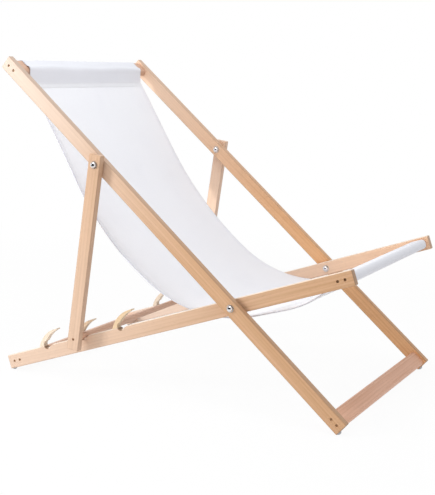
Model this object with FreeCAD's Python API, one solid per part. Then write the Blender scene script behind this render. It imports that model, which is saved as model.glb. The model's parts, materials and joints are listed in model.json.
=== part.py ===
import FreeCAD, Part
import math
import os

# Folding sling deck chair in beech: three nested frames of flat rails and a canvas sling.
# Millimetres. Z is up, the chair faces -Y, X runs across it with the sitter's left at +X.
# The origin is on the floor, at the middle of the chair's bounding box.

# Rails: flat bars with eased edges
rail_width = 34.0
rail_thickness = 16.0
rail_edge_radius = 2.2
back_rail_length = 1144.5
seat_pivot_above_foot = 349.0
prop_pivot_above_seat_pivot = 448.5
seat_rail_length = 946.3
seat_pivot_behind_front = 287.8
prop_leg_width = 32.0
prop_leg_above_pivot = 23.5
prop_leg_below_bar = 27.0
prop_bar_below_pivot = 415.5

# Widths across the chair, from the seat frame outwards
seat_inner_width = 510.0
seat_to_back_gap = 3.0
back_to_prop_gap = 4.0

# Crossbars: flat bars with rounded corners, their wide faces along the rails
crossbar_width = 40.0
crossbar_thickness = 20.0
crossbar_corner_radius = 8.0
head_crossbar_from_end = 23.0
foot_crossbar_from_end = 22.5
front_crossbar_from_end = 28.3
rear_crossbar_from_end = 26.0
prop_bar_diameter = 15.0

# Recline notches in the top edge of the seat rails
notch_count = 3
middle_notch_behind_pivot = 417.0
notch_pitch = 112.0
notch_depth = 5.6
notch_clearance = 0.3
notch_ramp_angle = 18.0

# Hooks that stand behind the notches: thick claws that curve forward over them to a thin tip
hook_side_inset = 0.5
hook_base_behind_notch = 24.5
hook_base_length = 15.2
hook_height = 34.0
hook_reach = 41.0
hook_tip_thickness = 2.4
hook_outer_bulge = 10.5
hook_inner_bulge = 6.3
hook_throat_clearance = 2.0
hook_tenon_length = 8.0
hook_tenon_thickness = 8.0
hook_tenon_depth = 13.0

# Pivot bolts, dome nuts and washers
bolt_diameter = 7.9
bolt_hole_clearance = 0.05
bolt_slack = 0.15
dome_diameter = 14.0
dome_height = 6.0
dome_rim = 1.5
nut_thread_depth = 3.0
washer_diameter = 17.0
washer_thickness = 1.2
spacer_diameter = 18.0

# Wood screws, sunk below the faces of the rails
wood_hole_clearance = 0.05
screw_shank_diameter = 4.0
screw_head_diameter = 6.4
screw_head_height = 2.4
screw_recess_depth = 4.4
screw_bite = 30.0
screw_spacing = 17.0
screw_slot_width = 0.9
screw_slot_length = 4.2
screw_slot_depth = 1.2

# Nail-in foot glides, low domes worn flat where they stand
glide_diameter = 11.5
glide_height = 3.6
glide_flat_depth = 0.4
glide_nail_diameter = 2.4
glide_nail_length = 13.0
front_glide_from_edge = 6.0
rear_glide_from_end = 6.5

# Canvas sling
sling_side_clearance = 5.0
sling_thickness = 1.5
sleeve_clearance = 0.3
head_seam_below_bar = 38.0
head_seam_depth = 14.0
front_seam_behind_bar = 41.0
front_seam_depth = 13.0
back_bend_below_bar = 412.5
back_bend_depth = 139.5
back_bend_radius = 800.0
seat_bend_behind_bar = 385.0
seat_bend_depth = 25.5
seat_bend_radius = 316.0
front_bend_behind_bar = 108.5
front_bend_depth = 37.0
front_bend_radius = 230.0

V = FreeCAD.Vector
X_AXIS = V(1, 0, 0)
ORIGIN = V(0, 0, 0)
parts = {}

# How far cutters run past the faces they cut, and the shares that keep rounds within their sides
overrun = 1.0
corner_share = 0.49
bend_share = 0.995

# Places across the chair, as distances from its middle
seat_inner = seat_inner_width / 2
seat_outer = seat_inner + rail_thickness
back_inner = seat_outer + seat_to_back_gap
back_outer = back_inner + rail_thickness
prop_inner = back_outer + back_to_prop_gap
prop_outer = prop_inner + rail_thickness

# Places along the rails: the back rail upwards and the seat rail rearwards from the seat pivot
half_rail = rail_width / 2
back_foot_end = -seat_pivot_above_foot
back_head_end = back_rail_length - seat_pivot_above_foot
seat_front_end = -seat_pivot_behind_front
seat_rear_end = seat_rail_length - seat_pivot_behind_front
head_bar_at = back_head_end - head_crossbar_from_end
foot_bar_at = back_foot_end + foot_crossbar_from_end
front_bar_at = seat_front_end + front_crossbar_from_end
rear_bar_at = seat_rear_end - rear_crossbar_from_end
notch_places = [middle_notch_behind_pivot + notch_pitch * (i - (notch_count - 1) / 2)
                for i in range(notch_count)]
prop_bar_radius = prop_bar_diameter / 2
notch_radius = prop_bar_radius + notch_clearance
prop_bar_height = half_rail - notch_depth + notch_radius

# Rest pose: the prop's crossbar lies in the middle notch, which sets the angle between the frames
bar_distance = math.hypot(middle_notch_behind_pivot, prop_bar_height)
bar_angle = math.atan2(prop_bar_height, middle_notch_behind_pivot)
opening_angle = bar_angle + math.acos(
    (prop_pivot_above_seat_pivot ** 2 + bar_distance ** 2 - prop_bar_below_pivot ** 2)
    / (2 * prop_pivot_above_seat_pivot * bar_distance))

# Level floor: the balls that the front and rear glides are cut from lie equally high
glide_ball = ((glide_diameter / 2) ** 2 + glide_height ** 2) / (2 * glide_height)
glide_inset = glide_ball - glide_height
front_ball_at = back_foot_end + glide_inset
front_glide_z = -half_rail + front_glide_from_edge
rear_glide_at = seat_rear_end - rear_glide_from_end
rear_ball_z = -half_rail + glide_inset
back_slope = math.atan2(
    -rear_glide_at * math.sin(opening_angle) + rear_ball_z * math.cos(opening_angle) - front_glide_z,
    front_ball_at - rear_glide_at * math.cos(opening_angle) - rear_ball_z * math.sin(opening_angle))
back_slope = back_slope % math.pi
seat_slope = opening_angle - back_slope


def turn(y, z, angle):
    """A point of the side view turned about the seat pivot."""
    return (y * math.cos(angle) - z * math.sin(angle), y * math.sin(angle) + z * math.cos(angle))


def on_back(along, above):
    """Side view place, from the seat pivot, of a point on the back frame."""
    return turn(along, above, back_slope)


def on_seat(along, above):
    """Side view place, from the seat pivot, of a point on the seat frame."""
    return turn(along, above, -seat_slope)


# The origin: floor level, and midway between the furthest rounded corners
corner = half_rail - rail_edge_radius
corners = [on_back(back_foot_end + rail_edge_radius, corner),
           on_back(back_head_end - rail_edge_radius, -corner),
           on_seat(seat_front_end + rail_edge_radius, -corner),
           on_seat(seat_rear_end - rail_edge_radius, corner)]
pivot_y = -(min(c[0] for c in corners) + max(c[0] for c in corners)) / 2
pivot_z = glide_ball - glide_flat_depth - on_seat(rear_glide_at, rear_ball_z)[1]
prop_pivot_y, prop_pivot_z = on_back(prop_pivot_above_seat_pivot, 0)
bar_y, bar_z = on_seat(middle_notch_behind_pivot, prop_bar_height)
prop_slope = math.atan2(bar_z - prop_pivot_z, bar_y - prop_pivot_y)


def placed(shape, slope, y, z):
    """A shape made about its frame's pivot, turned and moved to its place in the chair."""
    shape.rotate(ORIGIN, X_AXIS, math.degrees(slope))
    shape.translate(V(0, pivot_y + y, pivot_z + z))
    return shape


def in_back(shape):
    return placed(shape, back_slope, 0, 0)


def in_seat(shape):
    return placed(shape, -seat_slope, 0, 0)


def in_prop(shape):
    return placed(shape, prop_slope, prop_pivot_y, prop_pivot_z)


def mirrored(shape):
    """The same shape on the sitter's right."""
    return shape.mirror(ORIGIN, X_AXIS)


def pair(name, left, frame):
    """One node for each side of the chair."""
    parts[name + "_right"] = frame(mirrored(left))
    parts[name + "_left"] = frame(left)


def group(name, lefts, frame):
    """One node that holds like pieces from both sides."""
    solids = lefts + [mirrored(s) for s in lefts]
    parts[name] = Part.makeCompound([frame(s) for s in solids])


def block(x0, x1, y0, y1, z0, z1):
    return Part.makeBox(x1 - x0, y1 - y0, z1 - z0, V(x0, y0, z0))


def rail(x0, x1, y0, y1, half_width):
    """A flat bar along its frame, with all its edges eased."""
    bar = block(x0, x1, y0, y1, -half_width, half_width)
    return bar.makeFillet(rail_edge_radius, bar.Edges)


def rod(radius, x0, x1, y=0.0, z=0.0):
    """A round bar, or the cutter of a round hole, across the chair."""
    return Part.makeCylinder(radius, x1 - x0, V(x0, y, z), X_AXIS)


def drawn(points):
    """A wire of straight lines and arcs: a point pair (middle, end) stands for an arc."""
    edges = []
    at = points[0]
    for step in points[1:]:
        if isinstance(step, tuple):
            edges.append(Part.Arc(at, step[0], step[1]).toShape())
            at = step[1]
        else:
            edges.append(Part.LineSegment(at, step).toShape())
            at = step
    return Part.Wire(edges)


def side_point(y, z):
    return V(0, y, z)


def across(wire, half_width, shift=0.0):
    """A side view outline made solid, half_width to each side of shift."""
    solid = Part.Face(wire).extrude(V(2 * half_width, 0, 0))
    solid.translate(V(shift - half_width, 0, 0))
    return solid


def belt(circles):
    """The outline of a belt round circles (y, z, radius), as a wire in the side view."""
    following = {}
    for i, (y1, z1, r1) in enumerate(circles):
        for j, (y2, z2, r2) in enumerate(circles):
            dy, dz = y2 - y1, z2 - z1
            gap = math.hypot(dy, dz)
            if i == j or gap <= abs(r1 - r2):
                continue
            lean = (r1 - r2) / gap
            lift = math.sqrt(1 - lean ** 2)
            out = ((dy * lean + dz * lift) / gap, (dz * lean - dy * lift) / gap)
            reach = max((y - y1) * out[0] + (z - z1) * out[1] + r for y, z, r in circles)
            if reach <= r1 + 1e-6:
                following[i] = (j, out)
    start = min(following)
    points = []
    i = start
    while True:
        j, out = following[i]
        k, out_next = following[j]
        y, z, r = circles[j]
        mid = (out[0] + out_next[0], out[1] + out_next[1])
        size = math.hypot(*mid)
        if not points:
            y0, z0, r0 = circles[i]
            points.append(side_point(y0 + r0 * out[0], z0 + r0 * out[1]))
        points.append(side_point(y + r * out[0], z + r * out[1]))
        points.append((side_point(y + r * mid[0] / size, z + r * mid[1] / size),
                       side_point(y + r * out_next[0], z + r * out_next[1])))
        i = j
        if i == start:
            return drawn(points)


# Rails, with their pivot holes, screw holes and nail holes

def screw_hole(y, inner, outer):
    """A screw's hole through a rail, with its deep recess in the outer face."""
    shank = rod(screw_shank_diameter / 2 + wood_hole_clearance, inner - overrun, outer + overrun, y)
    recess_radius = screw_head_diameter / 2 + wood_hole_clearance
    recess = rod(recess_radius, outer - screw_recess_depth, outer + overrun, y)
    return shank.fuse(recess)


def pivot_hole(y, inner, outer):
    return rod(bolt_diameter / 2 + bolt_hole_clearance, inner - overrun, outer + overrun, y)


def screw_pair(bar_at):
    return [bar_at - screw_spacing / 2, bar_at + screw_spacing / 2]


def nail(x, y, z, direction, clearance=0.0):
    """The nail of a glide or, with a clearance, the cutter of its hole."""
    return Part.makeCylinder(glide_nail_diameter / 2 + clearance, glide_nail_length + clearance,
                             V(x, y, z), direction)


back_middle = (back_inner + back_outer) / 2
seat_middle = (seat_inner + seat_outer) / 2

back_rail = rail(back_inner, back_outer, back_foot_end, back_head_end, half_rail)
back_rail = back_rail.cut([pivot_hole(0, back_inner, back_outer),
                           pivot_hole(prop_pivot_above_seat_pivot, back_inner, back_outer),
                           nail(back_middle, back_foot_end, front_glide_z, V(0, 1, 0), wood_hole_clearance)]
                          + [screw_hole(y, back_inner, back_outer)
                             for y in screw_pair(head_bar_at) + screw_pair(foot_bar_at)])
pair("back_rail", back_rail, in_back)

# The notch: a seat for the round crossbar, with a long ramp towards the front
ramp = math.radians(notch_ramp_angle)
notch_top = half_rail + rail_edge_radius
ramp_foot = (-notch_radius * math.sin(ramp), prop_bar_height - notch_radius * math.cos(ramp))
ramp_top = ramp_foot[0] - (notch_top - ramp_foot[1]) / math.tan(ramp)
notch_wall_top = max(notch_top, prop_bar_height)
notch = across(drawn([side_point(ramp_top, notch_top), side_point(*ramp_foot),
                      (side_point(notch_radius * math.sin(math.pi / 4 - ramp / 2),
                                  prop_bar_height - notch_radius * math.cos(math.pi / 4 - ramp / 2)),
                       side_point(notch_radius, prop_bar_height)),
                      side_point(notch_radius, notch_wall_top + overrun),
                      side_point(ramp_top, notch_wall_top + overrun), side_point(ramp_top, notch_top)]),
               rail_thickness, seat_middle)
mortise = block(seat_middle - hook_tenon_thickness / 2, seat_middle + hook_tenon_thickness / 2,
                hook_base_behind_notch - (hook_base_length + hook_tenon_length) / 2,
                hook_base_behind_notch - (hook_base_length - hook_tenon_length) / 2,
                half_rail - hook_tenon_depth, half_rail)


def moved(shape, y, z=0.0):
    copy = shape.copy()
    copy.translate(V(0, y, z))
    return copy


seat_rail = rail(seat_inner, seat_outer, seat_front_end, seat_rear_end, half_rail)
seat_rail = seat_rail.cut([pivot_hole(0, seat_inner, seat_outer),
                           nail(seat_middle, rear_glide_at, -half_rail, V(0, 0, 1), wood_hole_clearance)]
                          + [screw_hole(y, seat_inner, seat_outer)
                             for y in screw_pair(front_bar_at) + screw_pair(rear_bar_at)]
                          + [moved(notch, y) for y in notch_places]
                          + [moved(mortise, y) for y in notch_places])
pair("seat_rail", seat_rail, in_seat)

prop_leg_end = prop_bar_below_pivot + prop_leg_below_bar
prop_leg = rail(prop_inner, prop_outer, -prop_leg_above_pivot, prop_leg_end, prop_leg_width / 2)
prop_leg = prop_leg.cut([pivot_hole(0, prop_inner, prop_outer),
                         screw_hole(prop_bar_below_pivot, prop_inner, prop_outer)])
pair("prop_leg", prop_leg, in_prop)


# Crossbars, with pilot holes for their screws

def bar_circles(at, grow=0.0):
    """The rounded corners of a crossbar's outline, as circles about its place on the rail."""
    side = min(crossbar_thickness, crossbar_width)
    radius = min(crossbar_corner_radius, corner_share * side)
    dy = crossbar_width / 2 - radius
    dz = crossbar_thickness / 2 - radius
    return [(at + sy * dy, sz * dz, radius + grow) for sy in (-1, 1) for sz in (-1, 1)]


def pilot_holes(places, half_length):
    radius = screw_shank_diameter / 2 + wood_hole_clearance
    hole_end = half_length - screw_bite - wood_hole_clearance
    lefts = [rod(radius, hole_end, half_length + overrun, y) for y in places]
    return lefts + [mirrored(s) for s in lefts]


def crossbar(at, half_length):
    return across(belt(bar_circles(at)), half_length).cut(pilot_holes(screw_pair(at), half_length))


parts["head_crossbar"] = in_back(crossbar(head_bar_at, back_inner))
parts["foot_crossbar"] = in_back(crossbar(foot_bar_at, back_inner))
parts["front_crossbar"] = in_seat(crossbar(front_bar_at, seat_inner))
parts["rear_crossbar"] = in_seat(crossbar(rear_bar_at, seat_inner))
prop_bar = rod(prop_bar_radius, -prop_inner, prop_inner, prop_bar_below_pivot)
parts["prop_crossbar"] = in_prop(prop_bar.cut(pilot_holes([prop_bar_below_pivot], prop_inner)))


# Wood screws that hold the crossbars between the rails

def screw(y, inner, outer):
    """A pan-headed screw with a cross slot, at the bottom of its recess."""
    seat = outer - screw_recess_depth
    shank = rod(screw_shank_diameter / 2, inner - screw_bite, seat, y)
    head = rod(screw_head_diameter / 2, seat, seat + screw_head_height, y)
    top = seat + screw_head_height
    half_width = screw_slot_width / 2
    half_length = screw_slot_length / 2
    slots = [block(top - screw_slot_depth, top + overrun, y - a, y + a, -b, b)
             for a, b in ((half_width, half_length), (half_length, half_width))]
    return shank.fuse(head).cut(slots)


group("head_crossbar_screws", [screw(y, back_inner, back_outer) for y in screw_pair(head_bar_at)], in_back)
group("foot_crossbar_screws", [screw(y, back_inner, back_outer) for y in screw_pair(foot_bar_at)], in_back)
group("front_crossbar_screws", [screw(y, seat_inner, seat_outer) for y in screw_pair(front_bar_at)], in_seat)
group("rear_crossbar_screws", [screw(y, seat_inner, seat_outer) for y in screw_pair(rear_bar_at)], in_seat)
group("prop_crossbar_screws", [screw(prop_bar_below_pivot, prop_inner, prop_outer)], in_prop)


# Hooks behind the notches, each with a tenon in the rail

def bulge_point(base, tip, bulge):
    """The middle of the arc from a hook's base to its tip, which stands off the straight line by bulge."""
    line = tip.sub(base)
    off = V(0, line.z, -line.y).normalize().multiply(bulge)
    return base.add(tip).multiply(0.5).add(off)


hook_rear = side_point(hook_base_behind_notch, half_rail)
hook_front = side_point(hook_base_behind_notch - hook_base_length, half_rail)
hook_tip = side_point(-hook_reach, half_rail + hook_height)
hook_under = side_point(-hook_reach, half_rail + hook_height - hook_tip_thickness)
hook_inner = bulge_point(hook_front, hook_under, hook_inner_bulge)
hook_outer = bulge_point(hook_rear, hook_tip, hook_outer_bulge)
hook = across(drawn([hook_rear, hook_front, (hook_inner, hook_under), hook_tip, (hook_outer, hook_rear)]),
              rail_thickness / 2 - hook_side_inset, seat_middle)
throat_radius = prop_bar_radius + hook_throat_clearance
throat = rod(throat_radius, seat_inner - overrun, seat_outer + overrun, 0, prop_bar_height)
hook = hook.cut(throat).fuse(mortise).removeSplitter()
for number, place in enumerate(notch_places, start=1):
    pair("notch_hook_%d" % number, moved(hook, place), in_seat)


# Pivot bolts: dome head and washer outside, spacer washer between the rails, washer and dome nut inside

def ring(diameter, x0, x1, y):
    hole = rod(bolt_diameter / 2 + bolt_hole_clearance, x0 - overrun, x1 + overrun, y)
    return rod(diameter / 2, x0, x1, y).cut(hole)


def dome(x, y):
    """A low dome on a short rim, its flat side at x and its crown towards +X."""
    radius = dome_diameter / 2
    ball = (radius ** 2 + dome_height ** 2) / (2 * dome_height)
    half_angle = math.asin(radius / ball) / 2
    centre = dome_rim + dome_height - ball
    outline = drawn([V(0, 0, 0), V(0, radius, 0), V(dome_rim, radius, 0),
                     (V(centre + ball * math.cos(half_angle), ball * math.sin(half_angle), 0),
                      V(dome_rim + dome_height, 0, 0)),
                     V(0, 0, 0)])
    solid = Part.Face(outline).revolve(ORIGIN, X_AXIS, 360)
    solid.translate(V(x, y, 0))
    return solid


def pivot_set(name, y, head_face, gap_inner, gap_outer, nut_face):
    """A bolt, its nut and its washers, on the back frame's side view place y."""
    head_seat = head_face + washer_thickness
    nut_seat = nut_face - washer_thickness
    shank_end = nut_seat - nut_thread_depth
    bolt = dome(head_seat, y).fuse(rod(bolt_diameter / 2, shank_end, head_seat, y)).removeSplitter()
    hole_end = shank_end - bolt_hole_clearance
    thread = rod(bolt_diameter / 2 + bolt_hole_clearance, hole_end, nut_seat + overrun, y)
    nut = mirrored(dome(-nut_seat, y)).cut(thread)
    pair(name + "_bolt", bolt, in_back)
    pair(name + "_dome_nut", nut, in_back)
    group(name + "_washers", [ring(washer_diameter, head_face, head_seat, y),
                              ring(washer_diameter, nut_seat, nut_face, y)], in_back)
    group(name + "_spacers", [ring(spacer_diameter, gap_inner, gap_outer, y)], in_back)


pivot_set("seat_pivot", 0, back_outer, seat_outer + bolt_slack, back_inner, seat_inner - bolt_slack)
pivot_set("prop_pivot", prop_pivot_above_seat_pivot, prop_outer + bolt_slack, back_outer,
          prop_inner - bolt_slack, back_inner)


# Foot glides, nailed to the ends of the back rails and under the rear of the seat rails

def glide(x, y, z, inward, slope):
    """A low dome on the wood with its nail inside it, worn flat parallel to the floor."""
    seat = V(x, y, z)
    centre = seat.add(V(inward).multiply(glide_inset))
    ball = Part.makeSphere(glide_ball, centre)
    wood = Part.makeCylinder(2 * glide_ball, 2 * glide_ball, seat, inward)
    down = V(0, -math.sin(slope), -math.cos(slope))
    worn = centre.add(V(down).multiply(glide_ball - glide_flat_depth))
    floor = Part.makeCylinder(2 * glide_ball, glide_ball, worn, down)
    return ball.cut([wood, floor]).fuse(nail(x, y, z, inward)).removeSplitter()


front_glide = glide(back_middle, back_foot_end, front_glide_z, V(0, 1, 0), back_slope)
rear_glide = glide(seat_middle, rear_glide_at, -half_rail, V(0, 0, 1), -seat_slope)
group("front_foot_glides", [front_glide], in_back)
group("rear_foot_glides", [rear_glide], in_seat)


# Canvas sling: a sleeve round the head crossbar, a deep sag and a sleeve round the front crossbar

def sleeve(circles, seam):
    """A closed sleeve round a crossbar's circles, which narrows to its seam."""
    inner = circles + [seam + (sling_thickness / 2,)]
    outside = belt([(y, z, r + sling_thickness) for y, z, r in inner])
    inside = belt(inner)
    return across(outside, sling_half).cut(across(inside, 2 * sling_half))


def ribbon(points, radii, thickness):
    """A sheet's outline along straight runs whose inner corners are bent to the given radii."""
    runs = [b.sub(a) for a, b in zip(points, points[1:])]
    headings = [math.atan2(r.z, r.y) for r in runs]
    turns = [math.remainder(b - a, 2 * math.pi) for a, b in zip(headings, headings[1:])]
    trims = [abs(r * math.tan(t / 2)) for r, t in zip(radii, turns)]
    ends = [0.0] + trims + [0.0]
    room = [bend_share * run.Length / (a + b) for run, a, b in zip(runs, ends, ends[1:])]
    fit = min([1.0] + room)
    sides = []
    for offset in (thickness / 2, -thickness / 2):
        def beside(point, heading):
            return point.add(V(0, -math.sin(heading), math.cos(heading)).multiply(offset))
        line = [beside(points[0], headings[0])]
        for point, before, after, radius, angle in zip(points[1:], headings, headings[1:], radii, turns):
            back = fit * radius * abs(math.tan(angle / 2))
            middle = before + angle / 2
            bulge = fit * radius * (1 / math.cos(angle / 2) - 1)
            toward = math.copysign(1, angle)
            inner = point.add(V(0, -math.sin(middle), math.cos(middle)).multiply(toward * bulge))
            line.append(beside(point.sub(V(0, math.cos(before), math.sin(before)).multiply(back)), before))
            line.append((beside(inner, middle),
                         beside(point.add(V(0, math.cos(after), math.sin(after)).multiply(back)), after)))
        line.append(beside(points[-1], headings[-1]))
        sides.append(drawn(line))
    caps = [drawn([sides[0].Vertexes[i].Point, sides[1].Vertexes[i].Point]).Edges[0] for i in (0, -1)]
    return Part.Wire(Part.__sortEdges__(sides[0].Edges + sides[1].Edges + caps))


def circles_on(frame, circles):
    return [frame(y, z) + (r,) for y, z, r in circles]


head_seam = on_back(head_bar_at - head_seam_below_bar, -head_seam_depth)
front_seam = on_seat(front_bar_at + front_seam_behind_bar, -front_seam_depth)
back_bend = on_back(head_bar_at - back_bend_below_bar, -back_bend_depth)
seat_bend = on_seat(front_bar_at + seat_bend_behind_bar, -seat_bend_depth)
front_bend = on_seat(front_bar_at + front_bend_behind_bar, -front_bend_depth)
sling_half = seat_inner - sling_side_clearance
sheet = across(ribbon([side_point(*p) for p in (head_seam, back_bend, seat_bend, front_bend, front_seam)],
                      [back_bend_radius, seat_bend_radius, front_bend_radius], sling_thickness), sling_half)
sling = sheet.fuse([sleeve(circles_on(on_back, bar_circles(head_bar_at, sleeve_clearance)), head_seam),
                    sleeve(circles_on(on_seat, bar_circles(front_bar_at, sleeve_clearance)), front_seam)])
parts["sling"] = placed(sling.removeSplitter(), 0, 0, 0)

os.makedirs("parts", exist_ok=True)
for name, shape in parts.items():
    shape.exportStep("parts/%s.step" % name)

print("nodes %d, back slope %.2f, seat slope %.2f, prop slope %.2f degrees"
      % (len(parts), math.degrees(back_slope), math.degrees(seat_slope), math.degrees(prop_slope)))
print("seat pivot y %.3f z %.3f, prop pivot y %.3f z %.3f"
      % (pivot_y, pivot_z, pivot_y + prop_pivot_y, pivot_z + prop_pivot_z))
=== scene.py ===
import json
import math
import bpy
from mathutils import Matrix, Vector, geometry, noise

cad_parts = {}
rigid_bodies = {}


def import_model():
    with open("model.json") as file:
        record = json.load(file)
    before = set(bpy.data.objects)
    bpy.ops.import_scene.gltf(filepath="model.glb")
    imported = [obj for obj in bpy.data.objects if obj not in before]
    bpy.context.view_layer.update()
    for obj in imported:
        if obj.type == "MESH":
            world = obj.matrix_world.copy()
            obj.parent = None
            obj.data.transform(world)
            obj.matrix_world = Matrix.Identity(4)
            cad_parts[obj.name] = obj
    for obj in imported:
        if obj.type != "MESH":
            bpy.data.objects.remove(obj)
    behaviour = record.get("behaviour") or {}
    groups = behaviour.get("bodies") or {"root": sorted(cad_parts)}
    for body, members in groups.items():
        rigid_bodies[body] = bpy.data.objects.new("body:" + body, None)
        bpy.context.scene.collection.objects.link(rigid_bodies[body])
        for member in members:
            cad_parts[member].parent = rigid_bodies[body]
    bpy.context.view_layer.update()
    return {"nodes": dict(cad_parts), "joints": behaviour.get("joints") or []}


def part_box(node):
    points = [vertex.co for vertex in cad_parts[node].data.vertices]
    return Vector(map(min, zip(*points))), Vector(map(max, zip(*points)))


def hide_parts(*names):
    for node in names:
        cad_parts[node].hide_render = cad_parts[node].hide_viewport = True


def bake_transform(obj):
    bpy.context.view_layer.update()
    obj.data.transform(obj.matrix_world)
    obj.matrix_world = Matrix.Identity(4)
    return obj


for leftover in list(bpy.data.objects):
    bpy.data.objects.remove(leftover)
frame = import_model()
scene = bpy.context.scene
scene.view_settings.view_transform = "Standard"


# The studio: a white paper floor under a bright even surround.
# The surround is a little brighter behind the chair, where one soft lamp stands; a weaker one hangs above.
# A dark card at the near side shows only in reflections.

def put(tree, kind, inputs=None, **settings):
    """A node with its settings made, and each named input set or linked."""
    node = tree.nodes.new(kind)
    for name, value in settings.items():
        setattr(node, name, value)
    for name, value in (inputs or {}).items():
        if isinstance(value, bpy.types.NodeSocket):
            tree.links.new(value, node.inputs[name])
        else:
            node.inputs[name].default_value = value
    return node


def maths(tree, operation, *values, clamp=False):
    """The result of a Math node on these values."""
    inputs = {i: value for i, value in enumerate(values)}
    return put(tree, "ShaderNodeMath", inputs, operation=operation, use_clamp=clamp).outputs[0]


def ramp(tree, value, low, high, to_low=0.0, to_high=1.0):
    """A value eased from one range into another."""
    inputs = {"Value": value, "From Min": low, "From Max": high, "To Min": to_low, "To Max": to_high}
    return put(tree, "ShaderNodeMapRange", inputs, interpolation_type="SMOOTHSTEP").outputs["Result"]


def seen_straight(tree):
    """One for rays that show the studio itself: to the camera, in metal or through glass."""
    path = put(tree, "ShaderNodeLightPath")
    mirrored = maths(tree, "MAXIMUM", path.outputs["Is Glossy Ray"], path.outputs["Is Transmission Ray"])
    return maths(tree, "MAXIMUM", path.outputs["Is Camera Ray"], mirrored)


front_light, rear_light = 0.63, 0.70
bright_side = (-0.6, 0.8, 0.0)
surround_colour = (0.985, 0.99, 1.0, 1)
pure_white = (1, 1, 1, 1)
world = bpy.data.worlds.new("white_surround")
world.use_nodes = True
scene.world = world
tree = world.node_tree
tree.nodes.clear()
way = put(tree, "ShaderNodeTexCoord").outputs["Generated"]
towards = put(tree, "ShaderNodeVectorMath", {0: way, 1: bright_side}, operation="DOT_PRODUCT")
level = put(tree, "ShaderNodeMapRange",
            {"Value": towards.outputs["Value"], "From Min": -1.0, "From Max": 1.0,
             "To Min": front_light, "To Max": rear_light})
lit = put(tree, "ShaderNodeBackground", {"Color": surround_colour, "Strength": level.outputs["Result"]})
shown = put(tree, "ShaderNodeBackground", {"Color": pure_white, "Strength": 1.0})
both = put(tree, "ShaderNodeMixShader", {0: seen_straight(tree), 1: lit.outputs[0], 2: shown.outputs[0]})
put(tree, "ShaderNodeOutputWorld", {"Surface": both.outputs[0]})


def plate(name, corners, material):
    """A flat four-cornered sheet of the studio."""
    mesh = bpy.data.meshes.new(name)
    mesh.from_pydata(corners, [], [(0, 1, 2, 3)])
    mesh.materials.append(material)
    piece = bpy.data.objects.new(name, mesh)
    scene.collection.objects.link(piece)
    return piece


floor_reach = 6.0
floor_level = -0.0004
corner_signs = ((-1, -1), (1, -1), (1, 1), (-1, 1))
floor_corners = [(x * floor_reach, y * floor_reach, floor_level) for x, y in corner_signs]
paper_near, paper_far = 0.9, 2.4
paper_glow = 0.94
paper_colour = (0.93, 0.93, 0.93, 1)
paper = bpy.data.materials.new("white_paper")
paper.use_nodes = True
tree = paper.node_tree
tree.nodes.clear()
place = put(tree, "ShaderNodeTexCoord").outputs["Object"]
distance = put(tree, "ShaderNodeVectorMath", {0: place}, operation="LENGTH").outputs["Value"]
whiter = ramp(tree, distance, paper_near, paper_far, paper_glow, 1.0)
glow = maths(tree, "MULTIPLY", whiter, seen_straight(tree))
matt = put(tree, "ShaderNodeBsdfDiffuse", {"Color": paper_colour})
bright = put(tree, "ShaderNodeEmission", {"Color": pure_white, "Strength": 1.0})
both = put(tree, "ShaderNodeMixShader", {0: glow, 1: matt.outputs[0], 2: bright.outputs[0]})
put(tree, "ShaderNodeOutputMaterial", {"Surface": both.outputs[0]})
plate("floor", floor_corners, paper)

card_side, card_front, card_back = -0.8, -1.0, 0.9
card_foot, card_top = 0.12, 1.6
card_corners = [(card_side, card_back, card_foot), (card_side, card_front, card_foot),
                (card_side, card_front, card_top), (card_side, card_back, card_top)]
card_colour = (0.02, 0.02, 0.022, 1)
dark_card = bpy.data.materials.new("dark_card")
dark_card.use_nodes = True
dark_card.node_tree.nodes["Principled BSDF"].inputs["Base Color"].default_value = card_colour
card = plate("dark_card", card_corners, dark_card)
card.visible_camera = False
card.visible_diffuse = False
card.visible_shadow = False


def lamp(name, place, target, size, power, colour):
    """A soft square lamp that looks at a point."""
    light = bpy.data.lights.new(name, "AREA")
    light.size = size
    light.energy = power
    light.color = colour
    holder = bpy.data.objects.new(name, light)
    holder.location = place
    holder.rotation_euler = (Vector(target) - Vector(place)).to_track_quat("-Z", "Y").to_euler()
    scene.collection.objects.link(holder)


lamp("rear_left_lamp", place=(-1.8, 1.9, 1.2), target=(0, 0.1, 0.4), size=0.7, power=32,
     colour=(1.0, 0.98, 0.96))
lamp("overhead_lamp", place=(-0.5, -0.1, 2.1), target=(0, 0, 0.4), size=0.9, power=12,
     colour=(0.97, 0.985, 1.0))

camera_place = (-2.2582, -1.1756, 0.7571)
camera_turn = (80.088, -1.302, -62.026)
camera_data = bpy.data.cameras.new("photo_camera")
camera_data.lens = 76.3
camera = bpy.data.objects.new("photo_camera", camera_data)
camera.location = camera_place
camera.rotation_euler = [math.radians(degrees) for degrees in camera_turn]
scene.collection.objects.link(camera)
scene.camera = camera


# Back rails: two long flat bars of pale steamed beech, planed, with eased edges and a thin satin lacquer.
# The grain runs along each bar, with the short brown flecks of beech and faint growth rings at the ends.
# Bolts join them to the seat rails inside them and to the prop legs outside them.

def group_tree(name, inputs, outputs):
    """A shader node group with its named sockets, and its input and output nodes."""
    tree = bpy.data.node_groups.new(name, "ShaderNodeTree")
    for label, kind, value in inputs:
        socket = tree.interface.new_socket(label, in_out="INPUT", socket_type="NodeSocket" + kind)
        socket.default_value = value
    for label, kind in outputs:
        tree.interface.new_socket(label, in_out="OUTPUT", socket_type="NodeSocket" + kind)
    return tree, tree.nodes.new("NodeGroupInput").outputs, tree.nodes.new("NodeGroupOutput").inputs


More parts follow.
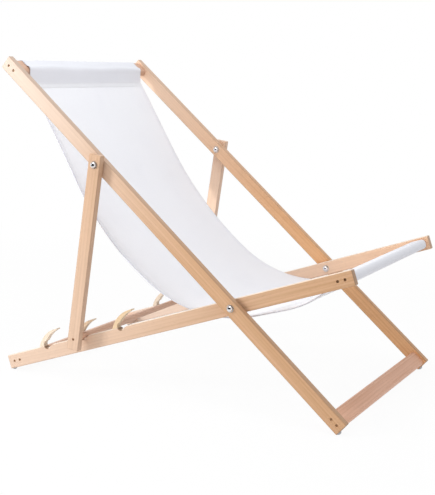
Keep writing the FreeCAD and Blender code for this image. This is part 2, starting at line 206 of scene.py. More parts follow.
def scaled_noise(tree, vector, scale, detail=2.0, rough=0.5):
    """Noise with its own scale along each axis."""
    stretched = put(tree, "ShaderNodeVectorMath", {0: vector, 1: scale}, operation="MULTIPLY").outputs[0]
    return put(tree, "ShaderNodeTexNoise", {"Vector": stretched, "Scale": 1.0, "Detail": detail,
                                            "Roughness": rough}).outputs["Fac"]


def tinted(tree, factor, one, other):
    """Two colours mixed by a factor, through the colour sockets of a Mix node."""
    mix = put(tree, "ShaderNodeMix", data_type="RGBA")
    factor_socket, one_socket, other_socket, colour_result = 0, 6, 7, 2
    for index, value in ((factor_socket, factor), (one_socket, one), (other_socket, other)):
        if isinstance(value, bpy.types.NodeSocket):
            tree.links.new(value, mix.inputs[index])
        else:
            mix.inputs[index].default_value = value
    return mix.outputs[colour_result]


def beech_grain():
    """Grain along the vector's Y: streaks, growth rings about a far heart, and flecks."""
    tree, given, result = group_tree(
        "beech_grain",
        [("Vector", "Vector", (0, 0, 0)), ("Pale", "Color", (0.8, 0.5, 0.3, 1)),
         ("Deep", "Color", (0.6, 0.35, 0.2, 1)), ("Flecks", "Float", 0.5)],
        [("Color", "Color"), ("Roughness", "Float"), ("Height", "Float")])
    streak_share, ring_share, cloud_share = 0.55, 0.30, 0.55
    streak_height = 0.6
    satin, dull = 0.40, 0.56
    fleck_brown = (0.36, 0.19, 0.10, 1)
    vector = given["Vector"]
    streaks = scaled_noise(tree, vector, (150, 3.2, 150), detail=4.0, rough=0.6)
    cloud = scaled_noise(tree, vector, (14, 1.6, 14))
    heart = put(tree, "ShaderNodeMapping", {"Vector": vector, "Location": (0.055, 0, 0.085),
                                            "Scale": (1, 0.09, 1)})
    rings = put(tree, "ShaderNodeTexWave", {"Vector": heart.outputs[0], "Scale": 62.0, "Distortion": 5.0,
                                            "Detail": 2.0, "Detail Scale": 0.45},
                wave_type="RINGS", rings_direction="Y").outputs["Fac"]
    spots = scaled_noise(tree, vector, (900, 120, 900), detail=1.0)
    flecks = maths(tree, "MULTIPLY", ramp(tree, spots, 0.60, 0.70), given["Flecks"])
    streaky = maths(tree, "MULTIPLY", ramp(tree, streaks, 0.28, 0.74), streak_share)
    ringed = maths(tree, "MULTIPLY", maths(tree, "POWER", rings, 3.0), ring_share)
    cloudy = maths(tree, "MULTIPLY", maths(tree, "SUBTRACT", cloud, 0.5), cloud_share)
    depth = maths(tree, "ADD", maths(tree, "ADD", streaky, ringed), cloudy, clamp=True)
    wood = tinted(tree, depth, given["Pale"], given["Deep"])
    tree.links.new(tinted(tree, flecks, wood, fleck_brown), result["Color"])
    tree.links.new(ramp(tree, streaks, 0.2, 0.8, satin, dull), result["Roughness"])
    raised = maths(tree, "MULTIPLY", streaks, streak_height)
    tree.links.new(maths(tree, "SUBTRACT", raised, flecks), result["Height"])
    return tree


# Its masks carry both wear and painted shade: beech_piece paints shade on the narrow faces, the edges and
# the sawn faces.
def edge_wear_and_shade():
    """How near a point is to the edges and faces of a box of these half sizes; the edges are broken up."""
    tree, given, result = group_tree(
        "edge_wear_and_shade",
        [("Vector", "Vector", (0, 0, 0)), ("Half", "Vector", (1, 1, 1)), ("Width", "Float", 0.003)],
        [("Edge", "Float"), ("Narrow Face", "Float"), ("End Face", "Float"), ("Sawn Face", "Float")])
    end_skin, end_fade = 0.0003, 0.0016
    sawn_skin, sawn_fade = 0.0002, 0.0010
    least_wear = 0.35
    outward = put(tree, "ShaderNodeVectorMath", {0: given["Vector"]}, operation="ABSOLUTE").outputs[0]
    inside = put(tree, "ShaderNodeVectorMath", {0: given["Half"], 1: outward}, operation="SUBTRACT")
    x, y, z = put(tree, "ShaderNodeSeparateXYZ", {0: inside.outputs[0]}).outputs
    nearest = maths(tree, "MINIMUM", x, y)
    second = maths(tree, "MAXIMUM", nearest, maths(tree, "MINIMUM", maths(tree, "MAXIMUM", x, y), z))
    edge = ramp(tree, second, 0.0, given["Width"], 1.0, 0.0)
    rubbed = scaled_noise(tree, given["Vector"], (120, 40, 120), detail=3.0)
    broken = ramp(tree, rubbed, 0.25, 0.62, least_wear, 1.0)
    tree.links.new(maths(tree, "MULTIPLY", edge, broken), result["Edge"])
    tree.links.new(ramp(tree, z, 0.0, given["Width"], 1.0, 0.0), result["Narrow Face"])
    tree.links.new(ramp(tree, y, end_skin, end_fade, 1.0, 0.0), result["End Face"])
    tree.links.new(ramp(tree, x, sawn_skin, sawn_fade), result["Sawn Face"])
    return tree


def finish_of(name):
    """A new material, its node tree and its shader."""
    material = bpy.data.materials.new(name)
    material.use_nodes = True
    return material, material.node_tree, material.node_tree.nodes["Principled BSDF"]


def dress(node, material):
    """Puts a material on a piece, as its only one."""
    node.data.materials.clear()
    node.data.materials.append(material)


grain_group = beech_grain()
wear_and_shade_group = edge_wear_and_shade()
# Pale cream that stands in for bright light on the wood: painted light.
painted_light_cream = (0.93, 0.86, 0.80, 1)
# Brown for the narrow faces: painted shade.
narrow_shade_brown = (0.33, 0.20, 0.13, 1)
# Brown for the edges: painted shade along them, broken up like handling wear.
edge_brown = (0.30, 0.17, 0.10, 1)
end_brown = (0.20, 0.13, 0.10, 1)
# Grey for the hooks' sawn faces: painted shade.
sawn_face_shade = (0.42, 0.40, 0.33, 1)
next_board = Vector((0.013, 0.71, 0.009))


def beech_piece(name, turn, pale, deep, painted_light=(0.0, 0.0), painted_light_from=-1.0, flecks=0.2, edge_dark=0.3,
                narrow_shade=0.2, end_dark=0.5, sawn_shade=0.0):
    """Beech for one piece, its grain along the turn's second axis, made paler along it from share to share
    with painted light.
    """
    node = frame["nodes"][name]
    back = turn.transposed()
    places = [back @ v.co for v in node.data.vertices]
    low = Vector([min(p[i] for p in places) for i in range(3)])
    high = Vector([max(p[i] for p in places) for i in range(3)])
    material, tree, shader = finish_of("beech_" + name)
    place = put(tree, "ShaderNodeTexCoord").outputs["Object"]
    own = put(tree, "ShaderNodeMapping", {"Vector": place, "Location": turn @ ((low + high) / 2),
                                          "Rotation": turn.to_euler()}, vector_type="TEXTURE").outputs[0]
    board = next_board * len(bpy.data.materials)
    cut = put(tree, "ShaderNodeVectorMath", {0: own, 1: board}, operation="ADD").outputs[0]
    grain = put(tree, "ShaderNodeGroup", node_tree=grain_group)
    wear_and_shade = put(tree, "ShaderNodeGroup", node_tree=wear_and_shade_group)
    tree.links.new(cut, grain.inputs["Vector"])
    grain.inputs["Pale"].default_value = pale
    grain.inputs["Deep"].default_value = deep
    grain.inputs["Flecks"].default_value = flecks
    tree.links.new(own, wear_and_shade.inputs["Vector"])
    wear_and_shade.inputs["Half"].default_value = (high - low) / 2
    along = put(tree, "ShaderNodeSeparateXYZ", {0: own}).outputs["Y"]
    half_length = (high.y - low.y) / 2
    # Paler towards one end: painted light.
    painted_light_share = ramp(tree, along, painted_light_from * half_length, half_length, *painted_light)
    colour = tinted(tree, painted_light_share, grain.outputs["Color"], painted_light_cream)
    # Narrow faces and sawn faces get painted shade, edges get painted shade broken up like wear, and end
    # faces their darker end grain.
    for mask, share, tint in (("Narrow Face", narrow_shade, narrow_shade_brown), ("Edge", edge_dark, edge_brown),
                              ("End Face", end_dark, end_brown), ("Sawn Face", sawn_shade, sawn_face_shade)):
        colour = tinted(tree, maths(tree, "MULTIPLY", wear_and_shade.outputs[mask], share), colour, tint)
    bump = put(tree, "ShaderNodeBump", {"Height": grain.outputs["Height"], "Strength": 0.12,
                                        "Distance": 0.0006})
    tree.links.new(colour, shader.inputs["Base Color"])
    tree.links.new(grain.outputs["Roughness"], shader.inputs["Roughness"])
    tree.links.new(bump.outputs[0], shader.inputs["Normal"])
    shader.inputs["Specular IOR Level"].default_value = 0.3
    shader.inputs["Coat Weight"].default_value = 0.12
    shader.inputs["Coat Roughness"].default_value = 0.3
    dress(node, material)
    return tree, shader, own, colour


def middle(name):
    """The middle of a node's box."""
    low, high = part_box(name)
    return (Vector(low) + Vector(high)) / 2


def lie(along, across=False):
    """The turn of a frame whose rails run along a direction; its crossbars' grain lies across."""
    slope = Matrix.Rotation(math.atan2(along.z, along.y), 3, "X")
    return slope @ Matrix.Rotation(-math.pi / 2, 3, "Z") if across else slope


# The left boards are paler and more orange than the right ones: painted light on the far side's inner faces.
rail_pale = {"left": (0.92, 0.53, 0.27, 1), "right": (0.70, 0.43, 0.255, 1)}
rail_deep = {"left": (0.74, 0.38, 0.165, 1), "right": (0.54, 0.30, 0.142, 1)}
# The back rails are paler towards one end: painted light; their narrow faces get painted shade.
back_painted_light = {"left": (0.0, 0.4), "right": (0.0, 0.5)}
up_back = (middle("head_crossbar") - middle("foot_crossbar")).normalized()
for side in ("left", "right"):
    beech_piece("back_rail_" + side, lie(up_back), rail_pale[side], rail_deep[side],
                painted_light=back_painted_light[side], painted_light_from=-0.3, narrow_shade=0.4)


# Head and foot crossbars: flat beech bars with rounded corners, glued and screwed between the back rails.
# The head bar carries the upper sleeve of the sling; the foot bar keeps the front feet apart.

bar_pale = (0.72, 0.46, 0.33, 1)
bar_deep = (0.58, 0.34, 0.22, 1)
# The foot bar is paler than the other bars: painted light on its front-facing faces.
foot_bar_pale = (0.85, 0.49, 0.33, 1)
foot_bar_deep = (0.69, 0.36, 0.215, 1)
# The bars' edges are darkened a little: painted shade broken up like wear.
bar_wear_and_shade = {"edge_dark": 0.15, "narrow_shade": 0.0, "end_dark": 0.0}
for name, pale, deep in (("head_crossbar", bar_pale, bar_deep),
                         ("foot_crossbar", foot_bar_pale, foot_bar_deep)):
    beech_piece(name, lie(up_back, across=True), pale, deep, **bar_wear_and_shade)


# Seat rails: two flat beech bars, bolted inside the back rails, with three bar seats cut in each top edge.
# Each seat is painted dark at its rear wall and pale at its front: painted shade and painted light in the
# notch.
# Their top edges carry a painted cream highlight.

# The seat rails are paler towards one end, the left one most: painted light.
seat_painted_light = {"left": (0.25, 0.6), "right": (0.0, 0.35)}
notch_pitch = 0.112
notch_reach, notch_fade = 0.0095, 0.002
dark_start, dark_full, dark_share = -0.004, 0.001, 0.9
notch_light_full, notch_light_end, notch_light_share = -0.006, -0.002, 0.7
rail_top = 0.017
top_start, top_full, top_share = rail_top - 0.0022, rail_top - 0.0008, 0.55
notch_shade_brown = (0.22, 0.12, 0.06, 1)
notch_light_cream = (0.95, 0.88, 0.80, 1)
painted_highlight_cream = (0.98, 0.88, 0.76, 1)
rearward = (middle("rear_crossbar") - middle("front_crossbar")).normalized()
for side in ("left", "right"):
    tree, shader, own, colour = beech_piece("seat_rail_" + side, lie(rearward), rail_pale[side],
                                            rail_deep[side], painted_light=seat_painted_light[side], narrow_shade=0.0)
    rail_middle = lie(rearward).transposed() @ middle("seat_rail_" + side)
    bar_seat = lie(rearward).transposed() @ middle("prop_crossbar") - rail_middle
    _, along, height = put(tree, "ShaderNodeSeparateXYZ", {0: own}).outputs
    behind = maths(tree, "SUBTRACT", along, bar_seat.y)
    beside = maths(tree, "WRAP", behind, notch_pitch / 2, -notch_pitch / 2)
    above = maths(tree, "SUBTRACT", height, bar_seat.z)
    reach = maths(tree, "SQRT", maths(tree, "ADD", maths(tree, "MULTIPLY", beside, beside),
                                      maths(tree, "MULTIPLY", above, above)))
    in_row = maths(tree, "LESS_THAN", maths(tree, "ABSOLUTE", behind), 1.5 * notch_pitch)
    notch_spot = maths(tree, "MULTIPLY", ramp(tree, reach, notch_reach, notch_reach + notch_fade, 1.0, 0.0), in_row)
    # Painted shade on each notch's rear wall and painted light on its front ramp.
    dark = maths(tree, "MULTIPLY", notch_spot, ramp(tree, beside, dark_start, dark_full, 0.0, dark_share))
    notch_light = maths(tree, "MULTIPLY", notch_spot, ramp(tree, beside, notch_light_full, notch_light_end, notch_light_share, 0.0))
    # A cream strip along the top edge: painted highlight, left off where the notch is painted dark.
    top = ramp(tree, height, top_start, top_full, 0.0, top_share)
    highlight_top = maths(tree, "MULTIPLY", top, maths(tree, "SUBTRACT", 1.0, dark))
    for share, tint in ((dark, notch_shade_brown), (notch_light, notch_light_cream), (highlight_top, painted_highlight_cream)):
        colour = tinted(tree, share, colour, tint)
    tree.links.new(colour, shader.inputs["Base Color"])


# Front and rear crossbars: the same rounded beech bars, glued and screwed between the seat rails.
# The front one carries the lower sleeve of the sling.

for name in ("front_crossbar", "rear_crossbar"):
    beech_piece(name, lie(rearward, across=True), bar_pale, bar_deep, **bar_wear_and_shade)


# Notch hooks: small curved claws of paler beech, sawn to shape, with painted shade greying their sawn faces.
# Each is tenoned into a seat rail behind a bar seat and leans forward over it. Rear ones are paler, with
# painted light.

hook_pale = (0.84, 0.62, 0.37, 1)
hook_deep = (0.72, 0.50, 0.28, 1)
# Whole hooks are paler, the rear ones most: painted light.
hook_painted_light = {1: (0.1, 0.1), 2: (0.3, 0.3), 3: (0.5, 0.5)}
for number, painted_light in hook_painted_light.items():
    for side in ("left", "right"):
        beech_piece("notch_hook_%d_%s" % (number, side), lie(rearward), hook_pale, hook_deep, painted_light=painted_light,
                    edge_dark=0.1, narrow_shade=0.0, end_dark=0.0, sawn_shade=0.25)


# Prop frame: two flat beech legs outside the back rails, each bolted to its rail near the top.
# A turned round bar joins them with one screw at each end, and drops into the seat rails' notches.

# The prop legs are paler towards one end, the left one most: painted light; their narrow faces get painted
# shade.
prop_painted_light = {"left": (0.4, 0.5), "right": (0.12, 0.25)}
pivots = {joint["name"]: Vector(joint["pos_m"]) for joint in frame["joints"]}
down_prop = (middle("prop_crossbar") - pivots["prop_swing"]).normalized()
for side in ("left", "right"):
    beech_piece("prop_leg_" + side, lie(down_prop), rail_pale[side], rail_deep[side],
                painted_light=prop_painted_light[side], narrow_shade=0.25, end_dark=0.1)
beech_piece("prop_crossbar", lie(down_prop, across=True), bar_pale, bar_deep, edge_dark=0.0, narrow_shade=0.0,
            end_dark=0.0)


# Pivot bolts and dome nuts: bright nickel-plated steel, polished, with fine handling scratches.
# The bolts go through the rails from outside, and the nuts close them on the inner faces.

def plated(name, colour, rough_low, rough_high, scratch=(260, 260, 260), bump=0.03):
    """Plated steel with cloudy polish and fine scratches."""
    scratch_share, scratch_level = 0.25, 0.6
    material, tree, shader = finish_of(name)
    place = put(tree, "ShaderNodeTexCoord").outputs["Object"]
    cloud = scaled_noise(tree, place, (90, 90, 90), detail=3.0)
    fine = scaled_noise(tree, place, scratch)
    tree.links.new(ramp(tree, cloud, 0.3, 0.75, rough_low, rough_high), shader.inputs["Roughness"])
    shade = ramp(tree, fine, 0.3, 0.8, 0.0, scratch_share)
    darker = tuple(scratch_level * c for c in colour[:3]) + (1,)
    tree.links.new(tinted(tree, shade, colour, darker), shader.inputs["Base Color"])
    height = put(tree, "ShaderNodeBump", {"Height": fine, "Strength": bump, "Distance": 0.0003})
    tree.links.new(height.outputs[0], shader.inputs["Normal"])
    shader.inputs["Metallic"].default_value = 1.0
    return material


nickel = plated("bright_nickel", (0.80, 0.80, 0.82, 1), rough_low=0.06, rough_high=0.18)
for pivot in ("seat_pivot", "prop_pivot"):
    for side in ("left", "right"):
        dress(frame["nodes"]["%s_bolt_%s" % (pivot, side)], nickel)
        dress(frame["nodes"]["%s_dome_nut_%s" % (pivot, side)], nickel)


# Pivot washers and spacers: rings of zinc-plated steel, stamped, with a brushed look.
# Washers lie under the bolts' heads and nuts, and spacers keep the rails apart.

zinc = plated("pale_zinc", (0.74, 0.73, 0.71, 1), rough_low=0.28, rough_high=0.5, scratch=(40, 900, 900),
              bump=0.08)
for pivot in ("seat_pivot", "prop_pivot"):
    dress(frame["nodes"][pivot + "_washers"], zinc)
    dress(frame["nodes"][pivot + "_spacers"], zinc)


# Crossbar screws: cross-slotted steel wood screws with a brown plate.
# They go through the rails into the crossbars' ends, at the bottom of drilled recesses.

brown_steel = plated("brown_screw_steel", (0.56, 0.35, 0.20, 1), rough_low=0.35, rough_high=0.6)
for bar in ("head", "foot", "front", "rear", "prop"):
    dress(frame["nodes"][bar + "_crossbar_screws"], brown_steel)


# Foot glides: small domes of dull grey steel, each nailed to a foot.
# They are scuffed where they stand.

glide_steel = plated("scuffed_glide_steel", (0.42, 0.42, 0.43, 1), rough_low=0.35, rough_high=0.65,
                     scratch=(700, 700, 700), bump=0.2)
for end in ("front", "rear"):
    dress(frame["nodes"][end + "_foot_glides"], glide_steel)


# Sling: one long sheet of white cotton canvas, with a doubled hem down each side and a sleeve at each end.
# The sleeves are sewn round the head and front crossbars, and the sheet hangs between them in a deep sag.
# A soft ridge shows where the cloth is pulled over the head bar, and painted shade greys the hems along
# their folded edges.

canvas_thickness = 0.0012
sleeve_gap = 0.0006
bar_half_width, bar_half_thickness, bar_corner = 0.020, 0.010, 0.008
lap_length = 0.014
lap_offset = 1.15 * canvas_thickness
hem_width = 0.014
sag_step = 0.006
sleeve_step = 0.003
corner_steps = 32


def upper_side(along):
    """The direction square to a rail, on the sitter's side."""
    return Vector((0, -along.z, along.y))


def spot(bar, rail, along, below):
    """A place in the side view, measured from a crossbar along its rail and below it."""
    return bar + rail * along - upper_side(rail) * below


head_bar, front_bar = middle("head_crossbar"), middle("front_crossbar")
head_bar.x = front_bar.x = 0.0
head_seam = spot(head_bar, up_back, along=-0.038, below=0.014)
back_bend = spot(head_bar, up_back, along=-0.4125, below=0.1395)
seat_bend = spot(front_bar, rearward, along=0.385, below=0.0255)
front_bend = spot(front_bar, rearward, along=0.1085, below=0.037)
front_seam = spot(front_bar, rearward, along=0.041, below=0.013)
bend_radii = [0.800, 0.316, 0.230]


def bent_line(points, radii, count=40):
    """A line of straight runs with its inner corners bent to radii, which shrink together if they must."""
    lengths = [(b - a).length for a, b in zip(points, points[1:])]
    halves = [(a - b).angle(c - b) / 2 for a, b, c in zip(points, points[1:], points[2:])]
    trims = [0.0] + [radius / math.tan(half) for radius, half in zip(radii, halves)] + [0.0]
    fit = min([1.0] + [0.995 * length / (a + b) for length, a, b in zip(lengths, trims, trims[1:])])
    result = [points[0]]
    for before, corner, after, radius, half in zip(points, points[1:], points[2:], radii, halves):
        one, two = (before - corner).normalized(), (after - corner).normalized()
        centre = corner + (one + two).normalized() * (fit * radius / math.sin(half))
        start = (corner + one * (fit * radius / math.tan(half)) - centre).normalized()
        end = (corner + two * (fit * radius / math.tan(half)) - centre).normalized()
        result += [centre + start.slerp(end, i / count) * (fit * radius) for i in range(count + 1)]
    return result + [points[-1]]


def even(points, step):
    """A line's points again, at even steps."""
    total = sum((b - a).length for a, b in zip(points, points[1:]))
    count = max(2, round(total / step))
    result, index, run = [points[0]], 0, 0.0
    for i in range(1, count):
        want = total * i / count
        while run + (points[index + 1] - points[index]).length < want:
            run += (points[index + 1] - points[index]).length
            index += 1
        piece = points[index + 1] - points[index]
        result.append(points[index] + piece * ((want - run) / piece.length))
    return result + [points[-1]]


def sleeve(bar, rail, seam, inner):
    """The canvas's line round a crossbar, from the inner lap at its seam back to the seam."""
    wrap = bar_corner + sleeve_gap + canvas_thickness / 2
    points = [seam, inner]
    for side in (-1, 1):
        for face in (-1, 1):
            corner = spot(bar, rail, along=side * (bar_half_width - bar_corner),
                          below=face * (bar_half_thickness - bar_corner))
            for k in range(corner_steps):
                turn = 2 * math.pi * k / corner_steps
                points.append(corner + (rail * math.cos(turn) + upper_side(rail) * math.sin(turn)) * wrap)
    order = geometry.convex_hull_2d([(p.y, p.z) for p in points])
    order = order[order.index(0):] + order[:order.index(0)]
    if order[1] == 1:
        order = order[1:] + order[:1]
    else:
        order = order[::-1]
        order = order[order.index(1):] + order[:order.index(1)]
    return even([points[i] for i in order], sleeve_step)


down_head = (back_bend - head_seam).normalized()
down_front = (front_bend - front_seam).normalized()
head_out = Vector((0, down_head.z, -down_head.y))
front_out = Vector((0, -down_front.z, down_front.y))
head_inner = head_seam - head_out * lap_offset
front_inner = front_seam - front_out * lap_offset
sag = even(bent_line([head_seam, back_bend, seat_bend, front_bend, front_seam], bend_radii), sag_step)
head_ring = sleeve(head_bar, up_back, head_seam, head_inner)
front_ring = sleeve(front_bar, rearward, front_seam, front_inner)[::-1]
head_lap = even([head_inner + down_head * lap_length, head_inner], sleeve_step)
front_lap = even([front_inner, front_inner + down_front * lap_length], sleeve_step)
line = head_lap[:-1] + head_ring[:-1] + sag[:-1] + front_ring[:-1] + front_lap
runs = [0.0]
for a, b in zip(line, line[1:]):
    runs.append(runs[-1] + (b - a).length)
sag_start = runs[len(head_lap) + len(head_ring) - 2]
sag_end = sag_start + sum((b - a).length for a, b in zip(sag, sag[1:]))


def face_way(i):
    """The direction out of the canvas's upper face at a point of its line."""
    a, b = line[max(i - 1, 0)], line[min(i + 1, len(line) - 1)]
    return Vector((0, (b - a).z, -(b - a).y)).normalized()


half_width = 0.2535
drawn_widths = ((0.0, 0.2445), (0.15, 0.2445), (0.42, 0.2565), (0.72, 0.2535), (1.0, 0.2465))


def eased(t):
    """A share from 0 to 1, with soft ends."""
    t = min(max(t, 0.0), 1.0)
    return t * t * (3 - 2 * t)


def half_width_at(run):
    """Half the canvas's width along its line: drawn in at both sleeves, fullest behind the sitter's back."""
    share = (run - sag_start) / (sag_end - sag_start)
    width = drawn_widths[0][1]
    for (a, before), (b, after) in zip(drawn_widths, drawn_widths[1:]):
        width += (after - before) * eased((share - a) / (b - a))
    return width


seam_share = 0.08
slack_depth = 0.006
gather_height, gather_reach, front_gather = 0.0011, 0.07, 1.3
wave_height = 0.0016


def lift(run, x):
    """How far the canvas stands off its line: a slack middle, soft gathers at the seams, faint waves."""
    t = (run - sag_start) / (sag_end - sag_start)
    if not 0 < t < 1:
        return 0.0
    slack = -slack_depth * (1 - (x / half_width) ** 2) * math.sin(math.pi * t)
    near_head = math.exp(-(run - sag_start) / gather_reach)
    near_front = front_gather * math.exp(-(sag_end - run) / gather_reach)
    gather = gather_height * (near_head + near_front) * noise.noise(Vector((x * 32, run * 5, 3.7)))
    wave = wave_height * noise.noise(Vector((x * 5.0, run * 3.2, 9.1)))
    return eased(min(t, 1 - t) / seam_share) * (slack + gather + wave)


crease_height, crease_width, crease_rise = 0.0028, 0.006, 0.007
crease_drift, crease_change = 0.006, 0.8
bar_edge = spot(head_bar, up_back, along=-bar_half_width, below=-bar_half_thickness)
edge_run = min(zip(line, runs), key=lambda pair: (pair[0] - bar_edge).length)[1]
crease_run = edge_run - crease_rise


def crease(run, x):
    """A soft uneven ridge along the head sleeve, where the canvas is pulled over the bar's lower edge."""
    drift = crease_drift * noise.noise(Vector((x * 7.0, 2.1, 5.5)))
    height = crease_height * (1 + crease_change * noise.noise(Vector((x * 11.0, 8.3, 1.7))))
    return height * math.exp(-((run - crease_run - drift) / crease_width) ** 2)


hem_edge = 1 - hem_width / half_width
hem_steps = (-0.004, 0.0, 0.012, 0.03)
rim_places = (0.985, 0.996, 1.0)
flat_count = 66


def columns():
    """Places across the canvas from -1 to 1, close together where the hems step up."""
    hem = [hem_edge + step for step in hem_steps] + list(rim_places)
    flat = [hem[0] - hem[0] * 2 * i / flat_count for i in range(1, flat_count)]
    return [-u for u in hem[::-1]] + flat[::-1] + hem


def canvas_point(i, u):
    """The canvas's place at a point of its line and a place across it."""
    x = u * half_width_at(runs[i])
    place = line[i] + face_way(i) * (lift(runs[i], x) + crease(runs[i], x))
    place.x = x
    return place


across = columns()
wide = len(across)
mesh = bpy.data.meshes.new("canvas_sling")
mesh.from_pydata([canvas_point(i, u) for i in range(len(line)) for u in across], [],
                 [(i * wide + j, i * wide + j + 1, (i + 1) * wide + j + 1, (i + 1) * wide + j)
                  for i in range(len(line) - 1) for j in range(wide - 1)])
flat_map = mesh.uv_layers.new(name="cloth")
for loop in mesh.loops:
    i, j = divmod(loop.vertex_index, wide)
    flat_map.data[loop.index].uv = (across[j] * half_width, runs[i])
sling = bpy.data.objects.new("canvas_sling", mesh)
scene.collection.objects.link(sling)

seam_margin = 0.004
fold_margin = 0.001
layers = sling.vertex_groups.new(name="layers")
one_layer, two_layers = 0.5, 1.0
for i in range(len(line)):
    below_seams = sag_start + seam_margin < runs[i] < sag_end - seam_margin
    for j, u in enumerate(across):
        doubled = below_seams and abs(u) > hem_edge + fold_margin
        layers.add([i * wide + j], two_layers if doubled else one_layer, "REPLACE")
wall = sling.modifiers.new("thickness", "SOLIDIFY")
wall.thickness = 2 * canvas_thickness
wall.offset = 0.0
wall.vertex_group = "layers"
wall.use_even_offset = True


def plain_mesh(piece):
    """Turns a piece's modifiers into its own mesh."""
    shown = piece.evaluated_get(bpy.context.evaluated_depsgraph_get())
    made = bpy.data.meshes.new_from_object(shown)
    made.name = piece.name
    piece.modifiers.clear()
    piece.data = made


plain_mesh(sling)
for face in sling.data.polygons:
    face.use_smooth = True


def canvas_weave():
    """Plain weave over a flat map in metres: yarns over and under with painted shade between them, slubs and
    soft soiling.
    """
    tree, given, result = group_tree(
        "canvas_weave",
        [("Vector", "Vector", (0, 0, 0)), ("Yarn", "Float", 0.0009), ("Cloth", "Color", (0.9, 0.9, 0.9, 1)),
         ("Shade", "Color", (0.6, 0.6, 0.6, 1))],
        [("Color", "Color"), ("Height", "Float"), ("Roughness", "Float")])
    crown_share, over_share, slub_share = 0.35, 0.15, 0.35
    gap_shade, soil_shade = 0.16, 0.07
    smooth_yarn, fuzzy_yarn = 0.82, 0.95
    turns = maths(tree, "DIVIDE", math.pi, given["Yarn"])
    u, v, _ = put(tree, "ShaderNodeSeparateXYZ", {0: given["Vector"]}).outputs
    warp = maths(tree, "SINE", maths(tree, "MULTIPLY", u, turns))
    weft = maths(tree, "SINE", maths(tree, "MULTIPLY", v, turns))
    over = maths(tree, "MULTIPLY", warp, weft)
    crowns = maths(tree, "ADD", maths(tree, "ABSOLUTE", warp), maths(tree, "ABSOLUTE", weft))
    slubs = maths(tree, "ADD", scaled_noise(tree, given["Vector"], (900, 22, 1)),
                  scaled_noise(tree, given["Vector"], (22, 900, 1)))
    height = maths(tree, "ADD", maths(tree, "MULTIPLY", crowns, crown_share),
                   maths(tree, "MULTIPLY", over, over_share))
    height = maths(tree, "ADD", height, maths(tree, "MULTIPLY", slubs, slub_share))
    soil = scaled_noise(tree, given["Vector"], (9, 7, 1), detail=4.0)
    # Darker between the yarns: painted shade in the weave's hollows.
    gaps = ramp(tree, height, 0.35, 0.85, gap_shade, 0.0)
    shade = maths(tree, "ADD", gaps, ramp(tree, soil, 0.45, 0.8, 0.0, soil_shade), clamp=True)
    tree.links.new(tinted(tree, shade, given["Cloth"], given["Shade"]), result["Color"])
    tree.links.new(height, result["Height"])
    tree.links.new(ramp(tree, slubs, 0.7, 1.3, smooth_yarn, fuzzy_yarn), result["Roughness"])
    return tree


weave_group = canvas_weave()
canvas_white = (0.87, 0.875, 0.925, 1)
canvas_grey = (0.50, 0.50, 0.56, 1)
canvas_yarn = 0.0011
# A grey strip along the hems' folded edges: painted shade.
hem_shade_start, hem_shade_full, hem_shade_share = half_width - 0.004, half_width - 0.001, 0.35


def canvas_finish(name, glow):
    """White canvas with some light inside it, with painted shade along the folded edges of its hems."""
    material, tree, shader = finish_of(name)
    weave = put(tree, "ShaderNodeGroup", node_tree=weave_group)
    cut = put(tree, "ShaderNodeUVMap", uv_map="cloth").outputs[0]
    tree.links.new(cut, weave.inputs["Vector"])
    weave.inputs["Yarn"].default_value = canvas_yarn
    weave.inputs["Cloth"].default_value = canvas_white
    weave.inputs["Shade"].default_value = canvas_grey
    bump = put(tree, "ShaderNodeBump", {"Height": weave.outputs["Height"], "Strength": 0.12,
                                        "Distance": 0.0004})
    side = maths(tree, "ABSOLUTE", put(tree, "ShaderNodeSeparateXYZ", {0: cut}).outputs["X"])
    hem_edge_shade = ramp(tree, side, hem_shade_start, hem_shade_full, 0.0, hem_shade_share)
    tree.links.new(tinted(tree, hem_edge_shade, weave.outputs["Color"], canvas_grey), shader.inputs["Base Color"])
    tree.links.new(weave.outputs["Roughness"], shader.inputs["Roughness"])
    tree.links.new(bump.outputs[0], shader.inputs["Normal"])
    shader.inputs["Subsurface Weight"].default_value = glow
    shader.inputs["Subsurface Radius"].default_value = (1.0, 1.0, 1.0)
    shader.inputs["Subsurface Scale"].default_value = 0.002
    shader.inputs["Sheen Weight"].default_value = 0.12
    shader.inputs["Sheen Roughness"].default_value = 0.5
    return material


dress(sling, canvas_finish("sheet_canvas", glow=0.8))
sling.data.materials.append(canvas_finish("sleeve_canvas", glow=0.0))
sheet_slot, sleeve_slot = 0, 1
places_on_cloth = sling.data.uv_layers["cloth"].data
for face in sling.data.polygons:
    run = sum(places_on_cloth[corner].uv.y for corner in face.loop_indices) / face.loop_total
    face.material_index = sheet_slot if sag_start < run < sag_end else sleeve_slot


def hang(cloth):
    """Bakes the cloth's place into its mesh."""
    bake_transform(cloth)


hang(sling)
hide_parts("sling")


# Seams: white cotton thread, one row down each hem and two rows across each sleeve's foot.
# Every stitch is a short raised bead that lies on the canvas, above and below.

stitch_pitch, stitch_length, stitch_width = 0.0036, 0.0034, 0.0009
row_inset, row_start = 0.010, 0.006
hem_row = 1 - row_inset / half_width
upper_row, lower_row = 0.003, 0.011
hem_stand = 0.85 * canvas_thickness
lap_stand, sheet_stand = 1.65 * canvas_thickness, 0.5 * canvas_thickness
row_end, row_steps = 38, 40
row_places = [k / row_steps for k in range(-row_end, row_end + 1)]


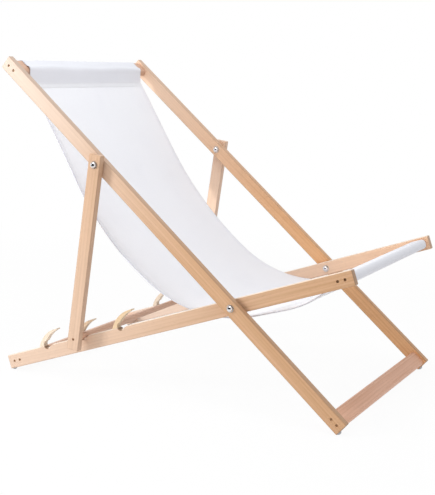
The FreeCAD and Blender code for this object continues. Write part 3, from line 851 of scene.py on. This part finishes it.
def stitch_rows():
    """Lines on both faces of the canvas, each point with the way out of the cloth and its height on it."""
    rows = []
    sag_at = [i for i, run in enumerate(runs) if sag_start + row_start < run < sag_end - row_start]
    for u in (-hem_row, hem_row):
        for side in (-1, 1):
            rows.append([(canvas_point(i, u), face_way(i) * side, hem_stand) for i in sag_at])
    for run in (sag_start + upper_row, sag_start + lower_row, sag_end - lower_row, sag_end - upper_row):
        i = min(range(len(runs)), key=lambda k: abs(runs[k] - run))
        for side, stand in ((-1, lap_stand), (1, sheet_stand)):
            rows.append([(canvas_point(i, u), face_way(i) * side, stand) for u in row_places])
    return rows


thread_points, thread_edges, thread_ways = [], [], []
for row in stitch_rows():
    for k, (place, way, stand) in enumerate(row):
        if k:
            thread_edges.append((len(thread_points) - 1, len(thread_points)))
        thread_points.append(place + way * stand)
        thread_ways.append(way)
thread_lines = bpy.data.meshes.new("seam_stitches")
thread_lines.from_pydata(thread_points, thread_edges, [])
ways = thread_lines.attributes.new("away", "FLOAT_VECTOR", "POINT")
ways.data.foreach_set("vector", [c for way in thread_ways for c in way])
stitches = bpy.data.objects.new("seam_stitches", thread_lines)
scene.collection.objects.link(stitches)


def stitch_tree():
    """Beads of thread set at even steps along lines, each lying along its line."""
    tree = bpy.data.node_groups.new("thread_stitches", "GeometryNodeTree")
    tree.interface.new_socket("Lines", in_out="INPUT", socket_type="NodeSocketGeometry")
    for name in ("Pitch", "Length", "Width"):
        tree.interface.new_socket(name, in_out="INPUT", socket_type="NodeSocketFloat")
    tree.interface.new_socket("Thread", in_out="INPUT", socket_type="NodeSocketMaterial")
    tree.interface.new_socket("Stitches", in_out="OUTPUT", socket_type="NodeSocketGeometry")
    given = tree.nodes.new("NodeGroupInput").outputs
    curve = put(tree, "GeometryNodeMeshToCurve", {"Mesh": given["Lines"]})
    steps = put(tree, "GeometryNodeResampleCurve", {"Curve": curve.outputs[0], "Length": given["Pitch"]},
                mode="LENGTH")
    away = put(tree, "GeometryNodeInputNamedAttribute", {"Name": "away"}, data_type="FLOAT_VECTOR")
    along = put(tree, "GeometryNodeInputTangent")
    lying = put(tree, "FunctionNodeAlignRotationToVector", {"Vector": along.outputs[0]}, axis="X")
    upright = put(tree, "FunctionNodeAlignRotationToVector",
                  {"Rotation": lying.outputs[0], "Vector": away.outputs[0]}, axis="Z", pivot_axis="X")
    bead = put(tree, "GeometryNodeMeshUVSphere", {"Segments": 6, "Rings": 4, "Radius": 0.5})
    size = put(tree, "ShaderNodeCombineXYZ",
               {"X": given["Length"], "Y": given["Width"], "Z": given["Width"]})
    shaped = put(tree, "GeometryNodeTransform", {"Geometry": bead.outputs[0], "Scale": size.outputs[0]})
    soft = put(tree, "GeometryNodeSetShadeSmooth", {"Geometry": shaped.outputs[0]})
    sewn = put(tree, "GeometryNodeInstanceOnPoints",
               {"Points": steps.outputs[0], "Instance": soft.outputs[0], "Rotation": upright.outputs[0]})
    whole = put(tree, "GeometryNodeRealizeInstances", {"Geometry": sewn.outputs[0]})
    done = put(tree, "GeometryNodeSetMaterial", {"Geometry": whole.outputs[0], "Material": given["Thread"]})
    put(tree, "NodeGroupOutput", {"Stitches": done.outputs[0]})
    return tree


thread_grey = (0.78, 0.78, 0.82, 1)
thread_white = (0.88, 0.88, 0.92, 1)
thread, tree, shader = finish_of("white_thread")
place = put(tree, "ShaderNodeTexCoord").outputs["Object"]
ply = scaled_noise(tree, place, (2600, 2600, 2600))
tree.links.new(tinted(tree, ply, thread_grey, thread_white), shader.inputs["Base Color"])
twist = put(tree, "ShaderNodeBump", {"Height": ply, "Strength": 0.3, "Distance": 0.0002})
tree.links.new(twist.outputs[0], shader.inputs["Normal"])
shader.inputs["Roughness"].default_value = 0.85
sewing = stitches.modifiers.new("sewing", "NODES")
sewing.node_group = stitch_tree()
values = {"Pitch": stitch_pitch, "Length": stitch_length, "Width": stitch_width, "Thread": thread}
for item in sewing.node_group.interface.items_tree:
    if item.in_out == "INPUT" and item.name in values:
        sewing[item.identifier] = values[item.name]
plain_mesh(stitches)
hang(stitches)
